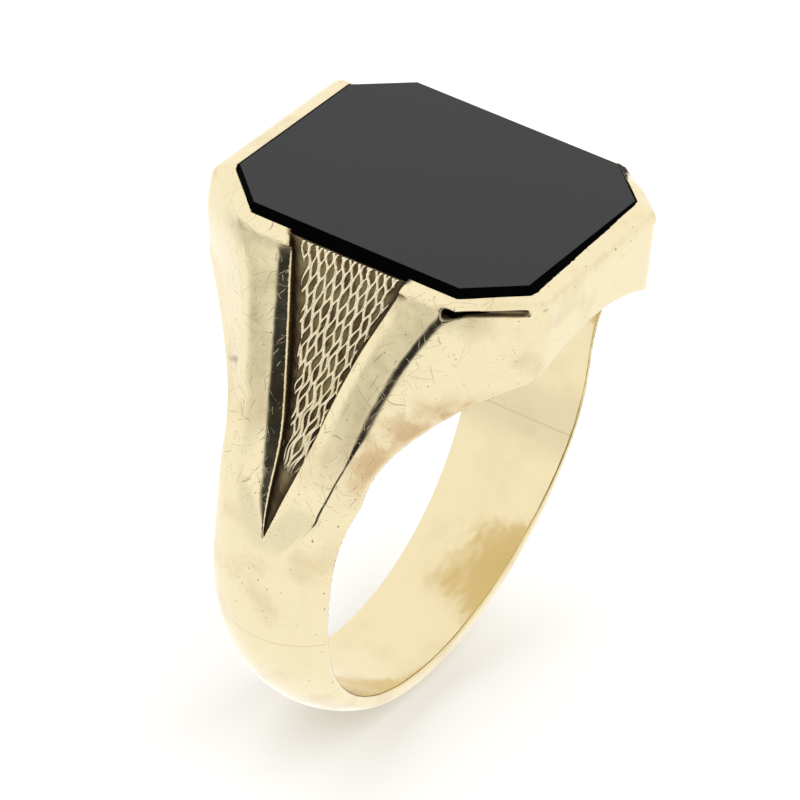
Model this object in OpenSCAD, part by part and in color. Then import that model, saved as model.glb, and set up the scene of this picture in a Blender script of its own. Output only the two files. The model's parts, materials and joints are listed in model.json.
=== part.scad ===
// Gentleman's signet ring: a cut-corner onyx tablet in a rubbed-over bezel, tapering
// shoulders with a patterned panel let into each, and a domed shank soldered on below.
// Millimetres. The origin is the centre of the finger hole. Y runs along the finger,
// X across it, and +Z points up through the middle of the stone.

/* [Finger] */
// Inside diameter of the ring
finger_d = 19; // [17:0.1:21]

/* [Shank] */
// Metal thickness at the crown of the domed shank
shank_t = 1.2; // [1:0.05:1.5]
// Width of the shank at the bottom of the ring
shank_w = 3.8; // [3:0.1:4.6]
// Radius of the dome across the shank's outer face
dome_r = 3.7; // [3.5:0.1:4.5]
// How far below the middle of the finger hole the shank is soldered to the head
seam_angle = 18; // [10:1:30]

/* [Head] */
// Length of the head along the finger
head_l = 14.9; // [14.7:0.1:15.5]
// Width of the head across the finger, at the rim
head_w = 13.04; // [12.9:0.02:13.6]
// Distance from the ring's axis to the rim's cut corners
corner_reach = 8.12; // [8.1:0.02:8.4]
// Height from the finger hole to the stone's flat top
head_t = 2.84; // [2.7:0.02:3.2]
// Height of the plain band of the rim above the cut shoulder facets
rim_band = 0.45; // [0.3:0.05:0.6]

/* [Stone] */
// Length of the stone's flat top along the finger
table_l = 12.92; // [12.6:0.02:13.1]
// Width of the stone's flat top across the finger
table_w = 11.58; // [11.3:0.02:11.7]
// Distance from the ring's axis to the cut corners of the stone's flat top
table_reach = 7.32; // [7.2:0.02:7.4]
// Width of the stone's bevel, seen from above
bevel_w = 0.44; // [0.3:0.02:0.46]
// Depth of the stone's bevel
bevel_h = 0.36; // [0.3:0.02:0.4]
// How far the stone's flat top stands above the rim
stone_proud = 0.27; // [0.2:0.01:0.29]
// Thickness of the stone
stone_t = 1.5; // [1.3:0.05:1.6]
// Thickness of the cement under the stone
cement_t = 0.1; // [0.05:0.01:0.12]

/* [Shoulders] */
// Metal thickness at the shoulder's waist, where it meets the band
waist_t = 0.75; // [0.7:0.05:0.9]
// Turn of the diagonal facets from the ring's side towards the finger
facet_turn = 40; // [38:1:42]
// Distance from the ring's axis to the diagonal facets under the rim
facet_reach = 7.86; // [7.8:0.02:7.88]

/* [Shoulder panels] */
// Half the panel's width at the rim
panel_half = 2.6; // [2.2:0.1:2.8]
// Thickness of the patterned panel
panel_t = 0.42; // [0.35:0.01:0.5]
// Metal left between a panel's pocket and the finger hole
pocket_wall = 0.25; // [0.2:0.01:0.3]

/* [Hidden] */
$fn = 96;

gold = "#e6d6a4";
dark_gold = "#a89258";
far = 30;                                   // beyond the whole ring
past = 1;                                   // how far a cut is carried past a surface

finger_r = finger_d / 2;
crown_r = finger_r + shank_t;
stone_z = finger_r + head_t;                // the stone's flat top
rim_z = stone_z - stone_proud;
ledge_z = stone_z - stone_t - cement_t;     // the floor that the stone is bedded on
band_half = sqrt(dome_r ^ 2 - (dome_r - shank_t) ^ 2);  // half width of the uncut dome

// Side view of one shoulder, from the rim down to the band
waist_angle = 29.2;
foot_angle = 14;
block_low = 0.4;                            // the shoulders end here, inside the band
function polar(r, a) = [r * cos(a), r * sin(a)];
rim_edge = [head_w / 2, rim_z];
waist = polar(finger_r + waist_t, waist_angle);
foot = polar(crown_r, foot_angle);

// How far the diagonal facets run out below the rim, to meet the band: [extra reach, height]
facet_swell = [[0.24, 8], [0.5, 6], [0.96, 3.2], [0.46, block_low]];

// Front of a patterned panel in the same view, from the rim down to its tip
panel_set_back = 0.27;                      // behind the edge of the rim
knee_set_back = 0.7;                        // behind the shoulder's waist
knee_rise = 0.8;                            // above the shoulder's waist
low_t = 0.7;                                // metal under the panel's face, low on the band
low_angle = 17;
tip_depth = 0.1;                            // under the band's crown
tip_angle = 8.3;
panel_top = [rim_edge.x - panel_set_back, rim_z];
panel_knee = waist + [-knee_set_back, knee_rise];
panel_low = polar(finger_r + low_t, low_angle);
panel_tip = polar(crown_r - tip_depth, tip_angle);

// Half way down, the panel is this wide
middle_z = 7.5;
middle_half = panel_half * 0.46;

// Half of a solid that is symmetric about x = 0 is drawn once and mirrored
module both_sides() {
    children();
    mirror([1, 0, 0]) children();
}

// A drawing in the X-Z plane, taken through the ring along the finger
module along_finger(length) {
    rotate([90, 0, 0]) linear_extrude(height = length, center = true) children();
}

// A drawing in the Y-Z plane, taken through the ring across the finger
module across_finger(length) {
    rotate([90, 0, 90]) linear_extrude(height = length, center = true) children();
}

// A slab with an eight-sided plan and, where bevel > 0, a bevel round its top edge:
// half width, half length and corner reach are measured at the top.
module cut_corner_slab(half_w, half_l, reach, bottom, top, bevel = 0, drop = 0) {
    directions = [[0, half_w], [45, reach], [90, half_l], [135, reach]];
    intersection_for (side = directions)
        rotate(side[0]) along_finger(far) polygon([
            [-side[1] - bevel, bottom], [side[1] + bevel, bottom],
            [side[1] + bevel, top - drop], [side[1], top],
            [-side[1], top], [-side[1] - bevel, top - drop]]);
}

module stone_shape(bottom) {
    cut_corner_slab(table_w / 2, table_l / 2, table_reach, bottom, stone_z,
                    bevel_w, bevel_h);
}

module finger_hole() {
    rotate([90, 0, 0]) cylinder(r = finger_r, h = far, center = true);
}

// The domed band all the way round, narrowing towards the bottom of the ring
module band() {
    intersection() {
        rotate([90, 0, 0]) rotate_extrude() intersection() {
            translate([crown_r - dome_r, 0]) circle(r = dome_r);
            translate([finger_r - past, -band_half]) square([far, 2 * band_half]);
        }
        across_finger(far) polygon([
            [-shank_w / 2, -crown_r], [shank_w / 2, -crown_r],
            [band_half, 0], [band_half, crown_r],
            [-band_half, crown_r], [-band_half, 0]]);
    }
}

// Side view of the shoulders under the rim
module shoulder_outline() {
    polygon([[-foot.x, foot.y], [-waist.x, waist.y], [-rim_edge.x, rim_edge.y],
             rim_edge, waist, foot, [foot.x, block_low], [-foot.x, block_low]]);
}

// The solid between the four diagonal facets, topped by the rim band, which is wider
// at the corners. The two overlap by half the band, so that they are one solid.
module within_corners() {
    reach = [[facet_reach, rim_z - rim_band / 2],
             for (station = facet_swell) [facet_reach + station.x, station.y]];
    mirrored = [for (i = [len(reach) - 1 : -1 : 0]) [-reach[i].x, reach[i].y]];
    intersection_for (turn = [facet_turn, -facet_turn])
        rotate(turn) along_finger(far) polygon(concat(reach, mirrored));
    intersection_for (turn = [45, -45])
        rotate(turn) translate([-corner_reach, -far / 2, rim_z - rim_band])
            cube([2 * corner_reach, far, rim_band]);
}

module head_block() {
    intersection() {
        along_finger(head_l) shoulder_outline();
        within_corners();
    }
}

// The V of a shoulder window, seen from the side of the ring
module window_view() {
    polygon([[0, panel_tip.y], [middle_half, middle_z], [panel_half, rim_z],
             [panel_half, rim_z + past], [-panel_half, rim_z + past], [-panel_half, rim_z],
             [-middle_half, middle_z]]);
}

// Pocket of the right-hand window, open to the outside and to the stone
module window_pocket() {
    back = [-panel_t, 0];
    difference() {
        intersection() {
            across_finger(far) window_view();
            along_finger(far) polygon([
                panel_top + back, panel_knee + back, [panel_knee.x - panel_t, 0],
                [far, 0], [far, rim_z + past], [panel_top.x - panel_t, rim_z + past]]);
        }
        rotate([90, 0, 0]) cylinder(r = finger_r + pocket_wall, h = far, center = true);
    }
}

module panel_blank() {
    intersection() {
        window_pocket();
        along_finger(far) polygon([panel_top, panel_knee, panel_low, panel_tip,
                                   [0, panel_tip.y], [0, rim_z]]);
    }
}

module shoulder_panel() {
    difference() {
        panel_blank();
        stone_shape(ledge_z);
    }
}

// The half plane region under the two solder seams
module below_seams() {
    seam = polar(far, -seam_angle);
    along_finger(far) polygon([[0, 0], seam, [far, -far], [-far, -far], [-seam.x, seam.y]]);
}

module head() {
    color(gold) difference() {
        union() {
            head_block();
            band();
        }
        finger_hole();
        below_seams();
        stone_shape(ledge_z);
        both_sides() window_pocket();
    }
}

module shank() {
    color(gold) difference() {
        intersection() {
            band();
            below_seams();
        }
        finger_hole();
    }
}

module shoulder_panel_right() {
    color(dark_gold) shoulder_panel();
}

module shoulder_panel_left() {
    color(dark_gold) mirror([1, 0, 0]) shoulder_panel();
}

module onyx_stone() {
    color("#26262a") stone_shape(stone_z - stone_t);
}

module stone_cement() {
    color("#cfc6ad") cut_corner_slab(table_w / 2 + bevel_w, table_l / 2 + bevel_w,
        table_reach + bevel_w, ledge_z, stone_z - stone_t);
}

head();
shank();
shoulder_panel_left();
shoulder_panel_right();
onyx_stone();
stone_cement();
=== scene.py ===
"""A gentleman's gold signet ring: a cut-corner onyx tablet in a rubbed-over bezel, shoulders with a
patterned panel let into each side, and a domed shank. Shapes are worked out in millimetres in the
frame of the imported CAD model: Y runs along the finger, X across it, Z up through the stone."""

import json
from math import cos, pi, radians, sin, sqrt, tan

import bmesh
import bpy
import numpy as np
import openvdb as vdb
from mathutils import Matrix, Vector


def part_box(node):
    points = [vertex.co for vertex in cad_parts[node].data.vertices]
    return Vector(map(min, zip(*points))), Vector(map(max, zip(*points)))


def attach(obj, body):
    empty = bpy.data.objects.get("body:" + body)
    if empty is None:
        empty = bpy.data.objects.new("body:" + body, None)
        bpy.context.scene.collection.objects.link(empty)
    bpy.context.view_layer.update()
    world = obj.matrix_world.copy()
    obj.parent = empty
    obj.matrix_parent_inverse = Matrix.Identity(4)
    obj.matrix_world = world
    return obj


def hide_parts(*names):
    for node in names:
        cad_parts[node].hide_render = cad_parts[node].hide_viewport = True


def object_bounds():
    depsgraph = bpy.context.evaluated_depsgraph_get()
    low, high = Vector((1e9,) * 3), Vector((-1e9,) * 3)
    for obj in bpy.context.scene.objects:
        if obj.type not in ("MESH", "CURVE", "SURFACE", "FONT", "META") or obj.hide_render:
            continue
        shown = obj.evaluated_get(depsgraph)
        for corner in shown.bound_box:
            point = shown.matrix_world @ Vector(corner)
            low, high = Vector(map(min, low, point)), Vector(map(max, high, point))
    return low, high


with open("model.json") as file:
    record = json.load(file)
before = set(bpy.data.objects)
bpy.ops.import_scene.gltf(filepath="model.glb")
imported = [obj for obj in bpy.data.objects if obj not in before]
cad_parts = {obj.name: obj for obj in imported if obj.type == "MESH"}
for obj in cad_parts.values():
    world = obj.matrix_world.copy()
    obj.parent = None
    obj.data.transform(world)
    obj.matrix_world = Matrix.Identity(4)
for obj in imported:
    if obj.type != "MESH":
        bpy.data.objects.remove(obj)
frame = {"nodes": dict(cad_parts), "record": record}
cad_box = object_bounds()

MM = 0.001
mounts = {mount["name"]: mount for mount in frame["record"]["mounts"]}
stone_high = np.array(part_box("onyx_stone")[1]) / MM
cad_low, cad_high = (np.array(corner) / MM for corner in cad_box)

# Sizes of the ring, from the frame
FINGER_R = mounts["finger_bore"]["dims"]["r_mm"]
CROWN_R = -cad_low[2]                    # outside of the domed band
HEAD_HALF = cad_high[1]                  # half the head's length along the finger
STONE_Z = stone_high[2]                  # the stone's flat top
GIRDLE_X, GIRDLE_Y = stone_high[0], stone_high[1]

# Sizes that the CAD model has as its own values
PROUD = 0.27                             # the stone's top above the rim
RIM_Z = STONE_Z - PROUD
BEVEL_W = 0.44
BEVEL_H = 0.36
GIRDLE_REACH = 7.76                      # from the ring's axis to the stone's cut corners
STONE_T = 1.5
CEMENT_T = 0.1
LEDGE_Z = STONE_Z - STONE_T - CEMENT_T   # the floor that the stone is bedded on
RIM_REACH = 8.12                         # from the ring's axis to the rim's cut corners
DOME_R = 3.7                             # of the band's cross-section
SEAM_ANGLE = 18                          # the solder seams lie this far below the middle of the hole
POCKET_R = FINGER_R + 0.25               # the panels' pockets stop this far from the axis
PANEL_T = 0.42                           # thickness of a patterned panel

# Stations from the rim down to the band: height, then the value there.
# Half the ring's width across the finger:
SHOULDER_X = [(12.3, 6.52), (11.7, 6.6), (11.4, 6.62), (11, 6.79), (10.5, 7.02), (10, 7.24),
              (9, 7.67), (8, 8.02), (7, 8.35), (6, 8.64), (5, 8.97), (4, 9.44), (3, 9.96),
              (2, 10.33), (1, 10.62), (-1, 11), (-4, 12)]
# The diagonal facets' turn in degrees, and their distance from the ring's axis:
FACET_TURN = [(11, 40), (8, 41), (6.8, 40), (5.5, 37), (4, 34), (2, 32)]
FACET_REACH = [(12, 7.9), (8, 8.1), (6.8, 8.24), (5.5, 8.51), (4.5, 8.82), (3.5, 9.22),
               (2, 9.83), (0, 10.8)]
# How far the domed band swells out into the shoulders, and half its width below them:
BAND_SWELL = [(8, 12), (7, 5), (6, 2.2), (5, 1.05), (4, 0.57), (3, 0.3), (2, 0.12), (1, 0.03), (0, 0)]
BAND_HALF = [(3, 3.4), (0, 2.82), (-3, 2.56), (-10.7, 1.98)]
# Half the width of a shoulder's window, the panel's depth in it, and the width of its chamfer:
WINDOW_HALF = [(12.3, 2.62), (11, 2.25), (9, 1.6), (7, 1.08), (5, 0.66), (3, 0.3), (1.5, 0), (0, -0.5)]
PANEL_DEPTH = [(12, 0.25), (11.5, 0.33), (11, 0.42), (10, 0.5), (9, 0.55), (6, 0.55), (3, 0.36),
               (1.5, 0.12)]
CHAMFER_W = [(11.5, 0.58), (8, 0.64), (5, 0.66), (3, 0.42), (1.5, 0.08)]

FLANK_LEAN = 0.94                        # turns a distance across the finger into one from the flank
SHOULDER_FOOT = 3                        # the band's own edges are cut below this height
RIM_BAND = 0.38                          # height of the rim where it stands out at the cut corners
GROOVE_Z = RIM_Z - 0.5                   # height of the slot under the cut corners
CHAMFER_SLOPE = radians(21)              # of the polished slope round a window
CHAMFER_TOP = RIM_Z - 0.5
CHAMFER_DEPTH = 0.3
PANEL_TIP = 1.56                         # height of the panels' lowest point
LINE_PITCH = 0.19                        # between the raised lines on a panel
LINE_HEIGHT = 0.13

# How much of the stone's bevel shows inside the bezel's lip, side by side
LIP_SHOWS = {"-x": 0.33, "+x": 0.44, "-y": 0.2, "+y": 0.05,
             "-x-y": 0.33, "-x+y": 0.17, "+x-y": 0.03, "+x+y": 0.44}
LIP_TAPER = 0.03                         # the lip covers more of the bevel towards +X on the -Y side
LIP_T = 0.07                             # thickness of the lip's edge
LIP_LOWER = 0.25                         # the far +X side of the bezel is worn down by this

VOXEL = 0.066                            # of the grid on which the gold is meshed
UNBOUNDED = 99                           # farther than anything on the ring

# Scratches: cells per millimetre, width of the line in millimetres, shift of the cells
FINE_SCRATCHES = [(1.5, 0.011, (3, 1, 7)), (1.9, 0.01, (11, 4, 2)), (2.6, 0.009, (5, 17, 9)),
                  (1.2, 0.011, (23, 8, 1))]
LONG_SCRATCHES = [(0.7, 0.014, (2, 9, 4)), (0.9, 0.013, (14, 3, 6)), (1.0, 0.012, (7, 12, 19))]

# The light tent
GAP = (-0.94, -0.28, 0.14)               # towards the dark gap that the ring's ridges mirror
DIM_SIDE = (-0.9, 0.42, -0.06)           # towards a slightly dimmer part of its wall
WHITE = 1.22                             # brightness of the tent
DIM = 1.06
DARK = 0.03                              # brightness inside the gap


def curve(at, stations):
    """Smooth curve through (position, value) stations, flat beyond the first and the last."""
    knots, values = np.array(sorted(stations), float).T
    slopes = np.gradient(values, knots)
    at = np.clip(at, knots[0], knots[-1])
    left = np.clip(np.searchsorted(knots, at, side="right") - 1, 0, len(knots) - 2)
    span = (knots[1:] - knots[:-1])[left]
    t = (at - knots[left]) / span
    return (values[left] * (1 + 2 * t) * (1 - t) ** 2 + values[left + 1] * t * t * (3 - 2 * t)
            + slopes[left] * span * t * (1 - t) ** 2 - slopes[left + 1] * span * t * t * (1 - t))


def smooth_max(a, b, width):
    """The greater of two distances, rounded where they are within width of each other."""
    near = np.maximum(width - np.abs(a - b), 0)
    return np.maximum(a, b) + near * near / (4 * width)


def smooth_min(a, b, width):
    """The lesser of two distances, rounded in the same way."""
    return -smooth_max(-a, -b, width)


def smooth_step(value, low, high):
    """Smooth change from 0 at low to 1 at high, which may be on either side of low."""
    t = np.clip((value - low) / (high - low), 0, 1)
    return t * t * (3 - 2 * t)


# ---- The gold as one distance field, negative inside the metal ----

def flank(ax, z):
    """Distance outside the nearly straight side of the shoulders."""
    return (ax - curve(z, SHOULDER_X)) * FLANK_LEAN


def outside_girdle(ax, ay):
    """Distance outside the stone's eight-sided outline."""
    return np.maximum(np.maximum(ax - GIRDLE_X, ay - GIRDLE_Y), (ax + ay) / sqrt(2) - GIRDLE_REACH)


def above_bevel(ax, ay, z):
    """Distance above the stone's bevel, carried on beyond the stone."""
    rise = (z - STONE_Z + BEVEL_H) * BEVEL_W
    return (outside_girdle(ax, ay) * BEVEL_H + rise) / np.hypot(BEVEL_W, BEVEL_H)


def lip_opening(x, y):
    """Distance outside the hole that the bezel's lip leaves over the stone."""
    half_x, half_y, reach = GIRDLE_X - BEVEL_W, GIRDLE_Y - BEVEL_W, GIRDLE_REACH - BEVEL_W
    ragged = 0.005 * np.sin(9 * x + 2 * np.sin(5 * x)) * smooth_step(-y, 4, 6)
    sides = [-x - half_x - LIP_SHOWS["-x"], x - half_x - LIP_SHOWS["+x"],
             -y - half_y - LIP_SHOWS["-y"] + LIP_TAPER * x + ragged, y - half_y - LIP_SHOWS["+y"],
             (-x - y) / sqrt(2) - reach - LIP_SHOWS["-x-y"], (y - x) / sqrt(2) - reach - LIP_SHOWS["-x+y"],
             (x - y) / sqrt(2) - reach - LIP_SHOWS["+x-y"], (x + y) / sqrt(2) - reach - LIP_SHOWS["+x+y"]]
    distance = sides[0]
    for side in sides[1:]:
        distance = smooth_max(distance, side, 0.15)
    return distance


def rim_top(x, y, ax, ay, z):
    """Distance above the bezel, which falls away from its lip, steeply at the sides, gently at the ends."""
    from_lip = lip_opening(x, y)
    shown = np.clip((BEVEL_W + outside_girdle(ax, ay) - from_lip) / BEVEL_W, 0, 1)
    lip_z = np.minimum(STONE_Z - BEVEL_H * shown + LIP_T, STONE_Z - 0.01)
    lip_z -= LIP_LOWER * smooth_step(x, 4, 6) * smooth_step(y, -4.6, -3.2)
    steep, gentle = 0.8, 0.2
    fall = steep - (steep - gentle) * smooth_step(ay - ax, -1.2, 1.5)
    return (z - lip_z + fall * np.maximum(from_lip, 0)) / np.sqrt(1 + fall * fall)


def ridge_width(y, z):
    """How far the ridges are rounded: least on the -Y side, where they run out on the band."""
    return 0.05 + 0.37 * np.maximum(smooth_step(z, 4.8, 7), smooth_step(y, -1, 0))


def shoulders(ax, ay, y, z):
    """Head and shoulders under the rim: diagonal facets, end walls and flanks with soft ridges."""
    fuller = smooth_step(z, 8.5, 11) * smooth_step(y, 0, 2)
    turn = np.radians(curve(z, FACET_TURN) - 5 * fuller)
    reach = curve(z, FACET_REACH) + (0.05 + 0.045 * (12 - z)) * fuller
    facet = ax * np.cos(turn) + ay * np.sin(turn) - reach
    ends = smooth_max(facet, ay - HEAD_HALF, 0.45)
    return smooth_max(ends, flank(ax, z), ridge_width(y, z))


def rim(ax, ay, y, z):
    """The bezel's outer wall, which stands out from the facets at the cut corners."""
    fading = smooth_step(y, 0, 2)
    reach = RIM_REACH - 0.07 * fading
    wall = smooth_max((ax + ay) / sqrt(2) - reach, ay - HEAD_HALF, 0.12)
    wall = smooth_max(wall, flank(ax, z), 0.12)
    return smooth_max(wall, RIM_Z - RIM_BAND - z, 0.08 + 0.3 * fading)


def corner_groove(ax, ay, y, z, skin):
    """The slot under the rim's cut corners on the -Y side, wide where it runs into the ridge."""
    along = (ay - ax) / sqrt(2)
    at_ridge = smooth_step(-along, 0.4, 1.6)
    tube = np.hypot(0.7 * (skin + 0.04), z - GROOVE_Z + 0.12 * at_ridge) - (0.1 + 0.1 * at_ridge)
    ends = np.maximum(along - 1.72, -along - 1.5)
    return smooth_max(smooth_max(tube, ends, 0.2), y + 1, 0.2)


def window_cut(ax, ay, z):
    """The V-shaped pocket of a shoulder panel with its polished chamfer."""
    half = curve(z, WINDOW_HALF)
    side = flank(ax, z)
    floor = np.maximum(-side - curve(z, PANEL_DEPTH) - PANEL_T, POCKET_R - np.hypot(ax, z))
    pocket = np.maximum(ay - half, floor)
    slant = (side + (half + curve(z, CHAMFER_W) - ay) * tan(CHAMFER_SLOPE)) * cos(CHAMFER_SLOPE)
    chamfer = np.maximum(-slant, -side - CHAMFER_DEPTH)
    chamfer = smooth_max(chamfer, z - CHAMFER_TOP, 0.15)
    return np.maximum(smooth_min(pocket, chamfer, 0.05), 0.5 - ax)


def gold_field(x, y, z):
    """The whole gold body: shoulders, rim and band joined, then cut for stone, panels and finger."""
    ax, ay = np.abs(x), np.abs(y)
    radius = np.hypot(ax, z)
    band = np.hypot(radius - (CROWN_R - DOME_R), ay) - DOME_R - curve(z, BAND_SWELL)
    skin = shoulders(ax, ay, y, z)
    body = smooth_min(skin, rim(ax, ay, y, z), 0.05 + 0.2 * smooth_step(y, 0, 2))
    body = smooth_max(body, band, ridge_width(y, z))
    body = smooth_max(body, ay - np.where(z < SHOULDER_FOOT, curve(z, BAND_HALF), UNBOUNDED), 0.12)
    body = smooth_max(body, ay - HEAD_HALF, 0.06)
    body = smooth_max(body, rim_top(x, y, ax, ay, z), 0.3 + 0.2 * smooth_step(ay - ax, -1, 1.5))
    body = smooth_max(body, -corner_groove(ax, ay, y, z, skin), 0.14)
    body = smooth_max(body, -window_cut(ax, ay, z), 0.1)
    body = smooth_max(body, FINGER_R - radius, 0.13)
    body = smooth_max(body, -np.maximum(lip_opening(x, y), RIM_Z - 0.5 - z), 0.05)
    seat = np.maximum(np.maximum(outside_girdle(ax, ay), above_bevel(ax, ay, z)), LEDGE_Z - z)
    return np.maximum(body, -seat)


def field_normals(points, field, step=0.025):
    """Unit gradient of a field at points, and the field there divided by the gradient's length."""
    gradient = np.empty_like(points)
    for axis in range(3):
        offset = np.zeros(3)
        offset[axis] = step
        gradient[:, axis] = (field(*(points + offset).T) - field(*(points - offset).T)) / (2 * step)
    length = np.maximum(np.linalg.norm(gradient, axis=1, keepdims=True), 1e-6)
    return gradient / length, field(*points.T)[:, None] / length


def sample_field(field, low, high, voxel, block=8):
    """The field on a regular grid, worked out only in the blocks that its surface may pass."""
    low = np.array(low) - 3 * voxel
    blocks = np.ceil((np.array(high) + 3 * voxel - low) / (voxel * block)).astype(int)
    centres = [low[axis] + voxel * (block * np.arange(blocks[axis]) + (block - 1) / 2) for axis in range(3)]
    coarse = field(*np.meshgrid(*centres, indexing="ij"))
    values = np.empty(tuple(blocks) + (block,) * 3, np.float32)
    values[:] = np.sign(coarse)[..., None, None, None]
    near = np.argwhere(np.abs(coarse) < voxel * block * 1.1)
    step = voxel * np.arange(block)
    for part in np.array_split(near, max(1, len(near) // 2000)):
        corner = low + voxel * block * part
        x = corner[:, 0, None, None, None] + step[:, None, None]
        y = corner[:, 1, None, None, None] + step[:, None]
        z = corner[:, 2, None, None, None] + step
        values[tuple(part.T)] = field(*np.broadcast_arrays(x, y, z))
    grid = values.transpose(0, 3, 1, 4, 2, 5).reshape(blocks * block)
    return grid, low


def mesh_field(field, low, high, voxel):
    """Points on a field's zero surface, moved exactly onto it, and the faces between them."""
    values, origin = sample_field(field, low, high, voxel)
    grid = vdb.FloatGrid(1.0)
    grid.copyFromArray(np.ascontiguousarray(values))
    points, triangles, quads = grid.convertToPolygons(isovalue=0, adaptivity=0)
    points = points.astype(float) * voxel + origin
    for _ in range(2):
        normals, away = field_normals(points, field)
        points -= normals * np.clip(away, -voxel / 2, voxel / 2)
    return points, quads.tolist() + triangles.tolist()


def new_object(name, points, faces):
    """A mesh object from points in millimetres."""
    mesh = bpy.data.meshes.new(name)
    mesh.from_pydata((np.asarray(points) * MM).tolist(), [], faces)
    mesh.update()
    obj = bpy.data.objects.new(name, mesh)
    bpy.context.scene.collection.objects.link(obj)
    return obj


def cut_piece(points, faces, name, keep_head):
    """One side of the two solder seams, closed with a flat face at each."""
    obj = new_object(name, points, faces)
    bm = bmesh.new()
    bm.from_mesh(obj.data)
    fall = tan(radians(SEAM_ANGLE))
    for side in (-1, 1):
        # dict.fromkeys drops repeats and, unlike a set, keeps the order
        near = [face for face in bm.faces if face.verts[0].co.x * side > 0]
        edges = dict.fromkeys(edge for face in near for edge in face.edges)
        corners = dict.fromkeys(corner for face in near for corner in face.verts)
        normal = Vector((fall * side, 0, 1)) * (-1 if keep_head else 1)
        bmesh.ops.bisect_plane(bm, geom=[*near, *edges, *corners], dist=1e-7, plane_co=(0, 0, 0),
                               plane_no=normal, clear_outer=True)
    border = [edge for edge in bm.edges if edge.is_boundary]
    bmesh.ops.holes_fill(bm, edges=border, sides=0)
    bmesh.ops.recalc_face_normals(bm, faces=bm.faces)
    bm.to_mesh(obj.data)
    bm.free()
    return obj


def vertex_points(obj):
    """The object's points in millimetres."""
    coordinates = np.empty(len(obj.data.vertices) * 3)
    obj.data.vertices.foreach_get("co", coordinates)
    return coordinates.reshape(-1, 3) / MM


def store(obj, name, values):
    """One number for each vertex, which the materials read by its name."""
    attribute = obj.data.attributes.new(name, "FLOAT", "POINT")
    attribute.data.foreach_set("value", np.asarray(values, np.float32))


def crowded(points, normals):
    """0 in the open to 1 in a recess, from how near other surfaces come in front of a point: an occlusion
    measure that the materials use for dirt and painted shade.
    """
    hidden = np.zeros(len(points))
    for away in (0.12, 0.25, 0.45):
        ahead = points + normals * away
        ax, ay, z = np.abs(ahead[:, 0]), np.abs(ahead[:, 1]), ahead[:, 2]
        panel = np.maximum(flank(ax, z) + curve(z, PANEL_DEPTH) - 0.06, ay - curve(z, WINDOW_HALF))
        panel = np.maximum(panel, POCKET_R - np.hypot(ax, z))
        nearest = np.minimum(gold_field(*ahead.T), np.where(z > PANEL_TIP - 0.06, panel, UNBOUNDED))
        hidden += np.clip(1 - nearest / away, 0, 1) / 3
    return hidden


def near_ridge(x, y, z):
    """1 on the ridges between the flanks and the facets, 0 well away from them."""
    ax, ay = np.abs(x), np.abs(y)
    ridge = flank(ax, z) - shoulders(ax, ay, y, z) + 0.1
    outside = smooth_step(np.hypot(ax, z), FINGER_R + 0.1, FINGER_R + 0.4)
    return smooth_step(-np.abs(ridge), -1.9, 0) * smooth_step(z, 1.5, 4) * outside


def finish_gold(obj):
    """Smooth shading with the field's own normals, and what the material reads at each point:
    where dirt collects and painted shade goes, where knocks fall, and where the flanks are, which take a
    painted dark reflection."""
    points = vertex_points(obj)
    normals, _ = field_normals(points, gold_field)
    obj.data.shade_smooth()
    obj.data.normals_split_custom_set_from_vertices(normals.tolist())
    store(obj, "dirt_and_shade", crowded(points, normals))
    store(obj, "knocks", near_ridge(*points.T))
    off_flank = np.abs(flank(np.abs(points[:, 0]), points[:, 2]))
    store(obj, "flank", smooth_step(-off_flank, -0.12, -0.02) * smooth_step(points[:, 2], 4, 7.5))


def build_gold():
    """Head and shank, cut from one mesh at the solder seams."""
    points, faces = mesh_field(gold_field, cad_low, cad_high, VOXEL)
    pieces = {"head": cut_piece(points, faces, "gold_head", True),
              "shank": cut_piece(points, faces, "gold_shank", False)}
    for node, piece in pieces.items():
        finish_gold(piece)
        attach(piece, "root")
        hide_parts(node)
    return list(pieces.values())


# ---- Shoulder panels: plates with a net of wavy raised lines ----

def wavy_net(y, down):
    """Height, 0 to 1, of the wavy lines that run down the panel and touch their neighbours."""
    height = np.zeros(np.broadcast(y, down).shape)
    for line in range(-18, 20):
        start = LINE_PITCH * (line + 0.12 * sin(5 * line))
        beat = 1.3 + 0.06 * sin(2.3 * line)
        wave = (-1) ** line * np.sin(2 * pi * (down + 0.06 * sin(3.1 * line)) / beat)
        lean = (0.13 - 0.035 * start) * down + 0.02 * np.sin(2.1 * down + 4 * line)
        across = start + lean + (0.08 + 0.014 * np.sin(1.3 * down + 5 * line)) * wave
        width = 0.066 + 0.012 * np.sin(3.7 * down + 2 * line)
        height = np.maximum(height, np.clip(1 - (np.abs(y - across) / width) ** 2, 0, 1) ** 0.7)
    return height


def plate_faces(rows, columns):
    """Faces of a closed plate: its front and back grids of points, and the wall round their edges."""
    count = rows * columns
    faces = []
    for row in range(rows - 1):
        for column in range(columns - 1):
            a = row * columns + column
            face = (a, a + 1, a + columns + 1, a + columns)
            faces += [face, tuple(count + v for v in reversed(face))]
    edge = list(range(columns))
    edge += [row * columns + columns - 1 for row in range(1, rows)]
    edge += [(rows - 1) * columns + column for column in range(columns - 2, -1, -1)]
    edge += [row * columns for row in range(rows - 2, 0, -1)]
    for a, b in zip(edge, edge[1:] + edge[:1]):
        faces.append((b, a, count + a, count + b))
    return faces


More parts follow.
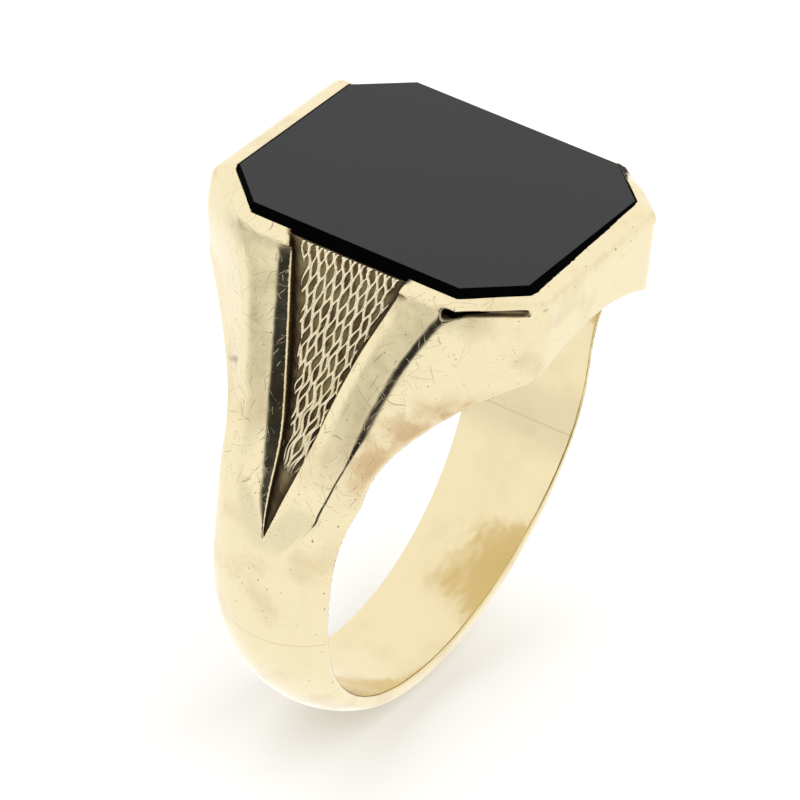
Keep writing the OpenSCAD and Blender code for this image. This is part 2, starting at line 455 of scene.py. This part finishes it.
def shoulder_panel(side):
    """A closed plate that fits its V-shaped pocket; side is -1 for the -X shoulder, 1 for +X."""
    rows, columns = 215, 180
    top = RIM_Z - (0.07 if side < 0 else LIP_LOWER)
    z = np.linspace(top, PANEL_TIP, rows)[:, None]
    u = np.linspace(-1, 1, columns)[None, :]
    half = curve(z, WINDOW_HALF) + 0.03  # reaches a little into the window's walls
    y = u * half
    down = (top - z) / 0.95              # way down the panel, in steps of the net's own size
    # The net ends in a ragged margin along the window's walls, and fades out towards its tip
    margin = 0.42 + 0.1 * np.sign(y) - 0.035 * down + 0.06 * np.sin(5 * down + 2 * np.sign(y))
    inside = smooth_step(half - np.abs(y) - margin, -0.1, 0.08)
    net = wavy_net(y, down) * inside * smooth_step(down, 9.2, 7.5)
    floor = curve(z, SHOULDER_X) - curve(z, PANEL_DEPTH) / FLANK_LEAN
    grain = 0.008 * np.sin(17 * y + 3 * down) * np.sin(11 * down + 2 * y)
    front = floor + LINE_HEIGHT * net + grain * (1 - net)
    back = np.maximum(floor - PANEL_T, np.where(z > LEDGE_Z, GIRDLE_X + 0.005, 0))
    back = np.maximum(back, np.sqrt(np.maximum(POCKET_R ** 2 - z ** 2, 0)))
    back = np.minimum(back, floor - 0.012) + 0 * u
    layers = [np.stack([side * x, y, z + 0 * u], -1).reshape(-1, 3) for x in (front, back)]
    faces = plate_faces(rows, columns)
    if side > 0:
        faces = [tuple(reversed(face)) for face in faces]
    obj = new_object("panel_" + ("right" if side > 0 else "left"), np.concatenate(layers), faces)
    obj.data.shade_smooth()
    # Darker ground near the window's walls: part dirt, part painted shade.
    near_wall = np.clip(1 - (half - np.abs(y)) / 0.5, 0, 1)
    for name, values in (("relief", net), ("dirt_and_shade", near_wall)):
        store(obj, name, np.concatenate([values.ravel(), np.zeros(rows * columns)]))
    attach(obj, "root")
    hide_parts("shoulder_panel_" + ("right" if side > 0 else "left"))
    return obj


# ---- Onyx ----

def tablet_ring(inset, z):
    """Eight corners of the tablet's outline, moved inwards."""
    half_x, half_y = GIRDLE_X - inset, GIRDLE_Y - inset
    diagonal = (GIRDLE_REACH - inset) * sqrt(2)
    corner = [(half_x, diagonal - half_x), (diagonal - half_y, half_y)]
    corner += [(-x, y) for x, y in reversed(corner)]
    corner += [(-x, -y) for x, y in corner]
    return [(x, y, z) for x, y in corner]


def onyx_tablet():
    """Flat top, wide bevel and straight girdle, with the polished edges slightly softened."""
    base, eased = STONE_Z - STONE_T, 0.05
    rings = [tablet_ring(eased, base), tablet_ring(0, base + eased), tablet_ring(0, STONE_Z - BEVEL_H),
             tablet_ring(BEVEL_W, STONE_Z)]
    points = [point for ring in rings for point in ring]
    faces = [tuple(range(7, -1, -1)), tuple(range(24, 32))]
    for ring in range(3):
        for side in range(8):
            a, b = ring * 8 + side, ring * 8 + (side + 1) % 8
            faces.append((a, b, b + 8, a + 8))
    obj = new_object("onyx_tablet", points, faces)
    for face in obj.data.polygons:
        face.material_index = 0 if face.normal.z > 0.99 else 1
    soften = obj.modifiers.new("softened edges", "BEVEL")
    soften.width = 0.035 * MM
    soften.segments = 3
    soften.limit_method = "ANGLE"
    soften.angle_limit = radians(20)
    soften.harden_normals = True
    obj.data.shade_smooth()
    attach(obj, "root")
    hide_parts("onyx_stone")
    return obj


# ---- Camera ----

def photo_camera():
    """Looks down on the ring's left shoulder from the photograph's angle, with a long lens."""
    azimuth, elevation, roll = radians(-61.3), radians(33.52), radians(6.57)
    back = Vector((sin(azimuth) * cos(elevation), -cos(azimuth) * cos(elevation), sin(elevation)))
    level = Vector((cos(azimuth), sin(azimuth), 0))
    upright = back.cross(level)
    right = cos(roll) * level + sin(roll) * upright
    up = cos(roll) * upright - sin(roll) * level
    left, down, away = 1.43, 8.25, 232.84    # from the middle of the stone's top
    place = Vector((0, 0, STONE_Z)) - left * right - down * up + away * back
    data = bpy.data.cameras.new("camera")
    data.sensor_width = 36
    data.lens = 276.2
    data.clip_start = 0.01
    camera = bpy.data.objects.new("camera", data)
    camera.matrix_world = Matrix.Translation(place * MM) @ Matrix((right, up, back)).transposed().to_4x4()
    bpy.context.scene.collection.objects.link(camera)
    bpy.context.scene.camera = camera


# ---- Materials ----

class Nodes:
    """A node tree; each method adds nodes and returns their output."""

    def __init__(self, owner):
        owner.use_nodes = True
        self.tree = owner.node_tree

    def coordinates(self, kind):
        return self.tree.nodes.new("ShaderNodeTexCoord").outputs[kind]

    def plug(self, value, socket):
        if isinstance(value, bpy.types.NodeSocket):
            self.tree.links.new(value, socket)
        else:
            socket.default_value = value

    def math(self, operation, a, b=0.0, clamp=False):
        node = self.tree.nodes.new("ShaderNodeMath")
        node.operation = operation
        node.use_clamp = clamp
        self.plug(a, node.inputs[0])
        self.plug(b, node.inputs[1])
        return node.outputs[0]

    def product(self, *values):
        result = values[0]
        for value in values[1:]:
            result = self.math("MULTIPLY", result, value)
        return result

    def greatest(self, *values):
        result = values[0]
        for value in values[1:]:
            result = self.math("MAXIMUM", result, value)
        return result

    def vector(self, operation, a, b=(0, 0, 0), scale=1.0):
        node = self.tree.nodes.new("ShaderNodeVectorMath")
        node.operation = operation
        for socket, value in zip((node.inputs[0], node.inputs[1], node.inputs[3]), (a, b, scale)):
            self.plug(value, socket)
        return node.outputs["Value" if operation in ("DOT_PRODUCT", "LENGTH") else "Vector"]

    def parts(self, vector):
        node = self.tree.nodes.new("ShaderNodeSeparateXYZ")
        self.plug(vector, node.inputs[0])
        return node.outputs

    def attribute(self, name):
        node = self.tree.nodes.new("ShaderNodeAttribute")
        node.attribute_name = name
        return node.outputs["Fac"]

    def noise(self, scale, detail=3.0, place=None):
        node = self.tree.nodes.new("ShaderNodeTexNoise")
        self.plug(place or self.place, node.inputs["Vector"])
        node.inputs["Scale"].default_value = scale
        node.inputs["Detail"].default_value = detail
        return node.outputs["Fac"]

    def cells(self, scale, place):
        """Distance from a loose grid's nearest centre, that cell's colour, and the centre itself."""
        node = self.tree.nodes.new("ShaderNodeTexVoronoi")
        self.plug(place, node.inputs["Vector"])
        node.inputs["Scale"].default_value = scale
        return node.outputs["Distance"], node.outputs["Color"], node.outputs["Position"]

    def ramp(self, value, low, high, start=0.0, end=1.0):
        """Smooth change from start to end as value goes from low to high."""
        node = self.tree.nodes.new("ShaderNodeMapRange")
        node.interpolation_type = "SMOOTHSTEP"
        for socket, setting in zip(node.inputs, (value, low, high, start, end)):
            self.plug(setting, socket)
        return node.outputs["Result"]

    def mix(self, factor, a, b):
        node = self.tree.nodes.new("ShaderNodeMix")
        node.data_type = "RGBA"
        self.plug(factor, node.inputs[0])
        self.plug(a, node.inputs[6])
        self.plug(b, node.inputs[7])
        return node.outputs[2]

    def bump(self, height, distance, normal=None):
        node = self.tree.nodes.new("ShaderNodeBump")
        self.plug(height, node.inputs["Height"])
        node.inputs["Distance"].default_value = distance * MM
        if normal:
            self.plug(normal, node.inputs["Normal"])
        return node.outputs["Normal"]


class Recipe(Nodes):
    """A material on the metal's and the stone's own scale, in millimetres."""

    def __init__(self, name):
        self.material = bpy.data.materials.new(name)
        super().__init__(self.material)
        self.place = self.vector("SCALE", self.coordinates("Object"), scale=1 / MM)

    def set(self, **inputs):
        """Values and nodes for the shader's own sockets; gives the finished material."""
        shader = self.tree.nodes["Principled BSDF"]
        for name, value in inputs.items():
            self.plug(value, shader.inputs[name.replace("_", " ")])
        return self.material


def scratches(recipe, scale, width, shift):
    """Slightly bent hairlines, one in each cell of a loose grid, each in a direction of its own."""
    place = recipe.vector("ADD", recipe.place, shift)
    distance, colour, centre = recipe.cells(scale, place)
    direction = recipe.vector("NORMALIZE", recipe.vector("SUBTRACT", colour, (0.5, 0.5, 0.5)))
    offset = recipe.vector("SUBTRACT", place, centre)
    bend = recipe.math("MULTIPLY", recipe.math("SUBTRACT", recipe.noise(0.9, 1.0, place), 0.5), 0.09)
    across = recipe.math("ADD", recipe.vector("DOT_PRODUCT", offset, direction), bend)
    line = recipe.ramp(recipe.math("ABSOLUTE", across), 0.0, width, 1.0, 0.0)
    return recipe.math("MULTIPLY", line, recipe.ramp(distance, 0.25, 0.45, 1.0, 0.0))


def hairlines(recipe):
    """Fine scratches in patches and on the ridges, and a few long ones."""
    knocks = recipe.attribute("knocks")
    fine = recipe.greatest(*(scratches(recipe, *layer) for layer in FINE_SCRATCHES))
    long = recipe.greatest(*(scratches(recipe, *layer) for layer in LONG_SCRATCHES))
    patches = recipe.ramp(recipe.noise(0.5, 2.0), 0.45, 0.65, 0.0, 0.35)
    fine = recipe.product(fine, recipe.math("ADD", patches, knocks, clamp=True), 0.85)
    long = recipe.product(long, recipe.math("ADD", recipe.product(knocks, 0.9), 0.1))
    return recipe.greatest(fine, long)


def tarnish(recipe, around, outside):
    """Brown stains in patches, and by the finger hole on the -Y side; around is from the axis."""
    _, along, height = recipe.parts(recipe.place)
    by_hole = recipe.product(recipe.ramp(around, FINGER_R + 0.2, FINGER_R + 1.9, 1.0, 0.0),
                             recipe.ramp(height, 3, 5), recipe.ramp(height, 8.5, 7),
                             recipe.ramp(along, -1.5, -3), outside,
                             recipe.ramp(recipe.noise(1.1, 4.0), 0.3, 0.6))
    stain = recipe.product(recipe.ramp(recipe.noise(0.45, 5.0), 0.5, 0.72, 0.0, 0.35),
                           recipe.ramp(around, FINGER_R + 0.02, FINGER_R + 0.1, 0.45, 1.0))
    return recipe.math("ADD", stain, by_hole, clamp=True)


def painted_dark_reflection(recipe):
    """Painted dark reflection: the gold darkened on the flanks, and under the rim except on the end walls.
    """
    _, along, height = recipe.parts(recipe.place)
    under_rim = recipe.product(recipe.ramp(height, RIM_Z - 1.6, RIM_Z - 0.7),
                               recipe.ramp(height, RIM_Z - 0.55, RIM_Z - 0.4, 1.0, 0.0),
                               recipe.ramp(recipe.math("ABSOLUTE", along), 5.2, 6.2, 1.0, 0.0))
    on_flank = recipe.product(recipe.attribute("flank"),
                              recipe.ramp(height, RIM_Z - 0.65, RIM_Z - 0.45, 1.0, 0.0))
    return recipe.product(recipe.math("ADD", under_rim, on_flank, clamp=True),
                          recipe.ramp(recipe.noise(0.8, 4.0), 0.35, 0.7, 0.26, 0.6))


def seam_lines(recipe):
    """The two solder seams, as faint lines."""
    sideways, _, height = recipe.parts(recipe.place)
    fall = recipe.product(recipe.math("ABSOLUTE", sideways), sin(radians(SEAM_ANGLE)))
    rise = recipe.product(height, cos(radians(SEAM_ANGLE)))
    away = recipe.math("ABSOLUTE", recipe.math("ADD", rise, fall))
    return recipe.ramp(away, 0.0, 0.07, 0.3, 0.0)


def worn_gold():
    """Pale polished gold with hairlines, pits, soft dents, brown dirt and painted shade in the recesses, a
    painted dark reflection on the flanks and under the rim, and painted darker, warmer gold inside the
    finger hole.
    """
    recipe = Recipe("gold")
    around = recipe.vector("LENGTH", recipe.vector("MULTIPLY", recipe.place, (1, 0, 1)))
    outside = recipe.ramp(around, FINGER_R + 0.05, FINGER_R + 0.2)
    inside = recipe.ramp(around, FINGER_R + 0.02, FINGER_R + 0.1, 1.0, 0.0)
    marks = recipe.product(hairlines(recipe), outside)
    pits = recipe.product(recipe.ramp(recipe.noise(7.0, 1.0), 0.73, 0.78), outside, 0.7)
    # Darkening in recesses from the occlusion measure: part real dirt, part painted shade.
    sheltered = recipe.math("ADD", recipe.attribute("dirt_and_shade"), recipe.product(recipe.noise(2.2, 4.0), 0.2))
    dirt_and_shade = recipe.ramp(sheltered, 0.25, 0.7)
    grime_and_shade = recipe.mix(recipe.ramp(recipe.noise(1.6, 3.0), 0.35, 0.65), (0.16, 0.1, 0.045, 1),
                       (0.05, 0.04, 0.025, 1))
    # Inside the finger hole the gold is painted slightly darker and warmer: painted shade standing in for
    # the light that bounces round the hole.
    colour = recipe.mix(inside, (0.77, 0.67, 0.435, 1), (0.755, 0.645, 0.405, 1))
    # The flank term is a painted dark reflection; the last term is dirt in pits and painted shade in
    # recesses.
    for amount, over in ((tarnish(recipe, around, outside), (0.56, 0.4, 0.22, 1)),
                         (painted_dark_reflection(recipe), (0.36, 0.31, 0.17, 1)),
                         (seam_lines(recipe), (0.4, 0.3, 0.17, 1)),
                         (recipe.product(marks, 0.75), (0.2, 0.15, 0.08, 1)),
                         (recipe.greatest(pits, recipe.product(dirt_and_shade, 0.9)), grime_and_shade)):
        colour = recipe.mix(amount, colour, over)
    satin = recipe.ramp(recipe.noise(0.9, 4.0), 0.3, 0.7, 0.1, 0.17)
    roughness = recipe.math("ADD", satin, recipe.product(dirt_and_shade, 0.3))
    dents = recipe.bump(recipe.noise(0.8, 2.0), 0.02)
    normal = recipe.bump(marks, -0.002, normal=dents)
    return recipe.set(Base_Color=colour, Metallic=1.0, Roughness=roughness, Normal=normal)


def net_gold():
    """The shoulder panels: bright lines over a brown, tarnished ground, darkened towards the window's walls
    with dirt and painted shade.
    """
    recipe = Recipe("patterned_gold")
    uneven = recipe.product(recipe.noise(6.0, 3.0), 0.25)
    relief = recipe.ramp(recipe.math("ADD", recipe.attribute("relief"), uneven), 0.3, 0.75)
    ground = recipe.mix(recipe.ramp(recipe.noise(1.3, 4.0), 0.35, 0.65), (0.21, 0.17, 0.08, 1),
                        (0.085, 0.052, 0.022, 1))
    # Painted shade and dirt darken the ground towards the window's walls.
    ground = recipe.mix(recipe.ramp(recipe.attribute("dirt_and_shade"), 0.1, 0.9), ground, (0.035, 0.022, 0.012, 1))
    colour = recipe.mix(relief, ground, (0.8, 0.72, 0.52, 1))
    rough = recipe.ramp(relief, 0.0, 1.0, 0.42, 0.2)
    normal = recipe.bump(recipe.noise(9.0, 4.0), 0.02)
    return recipe.set(Base_Color=colour, Metallic=0.9, Roughness=rough, Normal=normal)


def onyx(name, ior, smooth, rough):
    """Polished black stone with a soft haze, a few specks, and its roughness between two values."""
    recipe = Recipe(name)
    haze = recipe.ramp(recipe.noise(0.5, 5.0), 0.3, 0.7, smooth, rough)
    specks = recipe.ramp(recipe.noise(7.0, 2.0), 0.74, 0.8)
    colour = recipe.mix(specks, (0.0008, 0.0008, 0.001, 1), (0.012, 0.012, 0.013, 1))
    return recipe.set(Base_Color=colour, Roughness=haze, IOR=ior,
                      Normal=recipe.bump(recipe.noise(0.25, 1.0), 0.01))


def cement():
    """Matt, grainy setter's cement."""
    recipe = Recipe("cement")
    colour = recipe.mix(recipe.noise(3.0, 4.0), (0.42, 0.38, 0.28, 1), (0.6, 0.56, 0.44, 1))
    return recipe.set(Base_Color=colour, Roughness=recipe.ramp(recipe.noise(5.0), 0.3, 0.7, 0.6, 0.85),
                      Normal=recipe.bump(recipe.noise(8.0), 0.02))


def dress(obj, *materials):
    """Puts materials on a piece. Clearing an empty list would still reset its faces' materials."""
    if obj.data.materials:
        obj.data.materials.clear()
    for material in materials:
        obj.data.materials.append(material)


# ---- Light and floor ----

def oval(nodes, direction, towards, wide, high, soft):
    """1 inside an upright oval of the sky around a direction, 0 outside."""
    towards = Vector(towards).normalized()
    upright = Vector((0, 0, 1))
    sideways = towards.cross(upright).normalized()
    offset = nodes.vector("SUBTRACT", direction, towards)
    squares = [nodes.math("POWER", nodes.vector("DOT_PRODUCT", offset, axis), 2.0)
               for axis in (sideways / wide, upright / high, towards / 0.9)]
    square = nodes.math("ADD", nodes.math("ADD", squares[0], squares[1]), squares[2])
    return nodes.ramp(nodes.math("POWER", square, 0.5), 1 - soft, 1 + soft, 1.0, 0.0)


def tent():
    """White all round, with the dark gap in the tent's front that the ring's ridges mirror."""
    world = bpy.data.worlds.new("tent")
    bpy.context.scene.world = world
    nodes = Nodes(world)
    direction = nodes.coordinates("Generated")
    light = nodes.ramp(oval(nodes, direction, DIM_SIDE, 0.42, 0.25, 0.6), 0.0, 1.0, WHITE, DIM)
    gap = oval(nodes, direction, GAP, 0.23, 0.5, 0.3)
    light = nodes.math("SUBTRACT", light, nodes.math("MULTIPLY", gap, 1.2))
    light = nodes.math("MAXIMUM", light, DARK)
    nodes.tree.links.new(light, nodes.tree.nodes["Background"].inputs["Color"])


def paper_floor():
    """A pale sheet under the ring, which its metal doesn't mirror: it mirrors the even tent."""
    bpy.ops.mesh.primitive_plane_add(size=2, location=(0, 0, -CROWN_R * MM))
    sheet = bpy.context.object
    sheet.name = "floor"
    sheet.visible_glossy = False
    paper = Recipe("paper")
    shade = paper.mix(paper.noise(0.01), (0.93, 0.93, 0.93, 1), (0.96, 0.96, 0.96, 1))
    sheet.data.materials.append(paper.set(Base_Color=shade, Roughness=0.9, Emission_Color=(1, 1, 1, 1),
                                          Emission_Strength=0.07))
    return sheet


# ---- The ring and its stage ----

gold_pieces = build_gold()
panels = [shoulder_panel(-1), shoulder_panel(1)]
tablet = onyx_tablet()
photo_camera()

polished = worn_gold()
for piece in gold_pieces:
    dress(piece, polished)
patterned = net_gold()
for piece in panels:
    dress(piece, patterned)
dress(tablet, onyx("onyx_top", 1.33, 0.04, 0.08), onyx("onyx_bevel", 1.04, 0.08, 0.16))
dress(frame["nodes"]["stone_cement"], cement())

tent()
bpy.context.scene.view_settings.view_transform = "Standard"
floor = paper_floor()
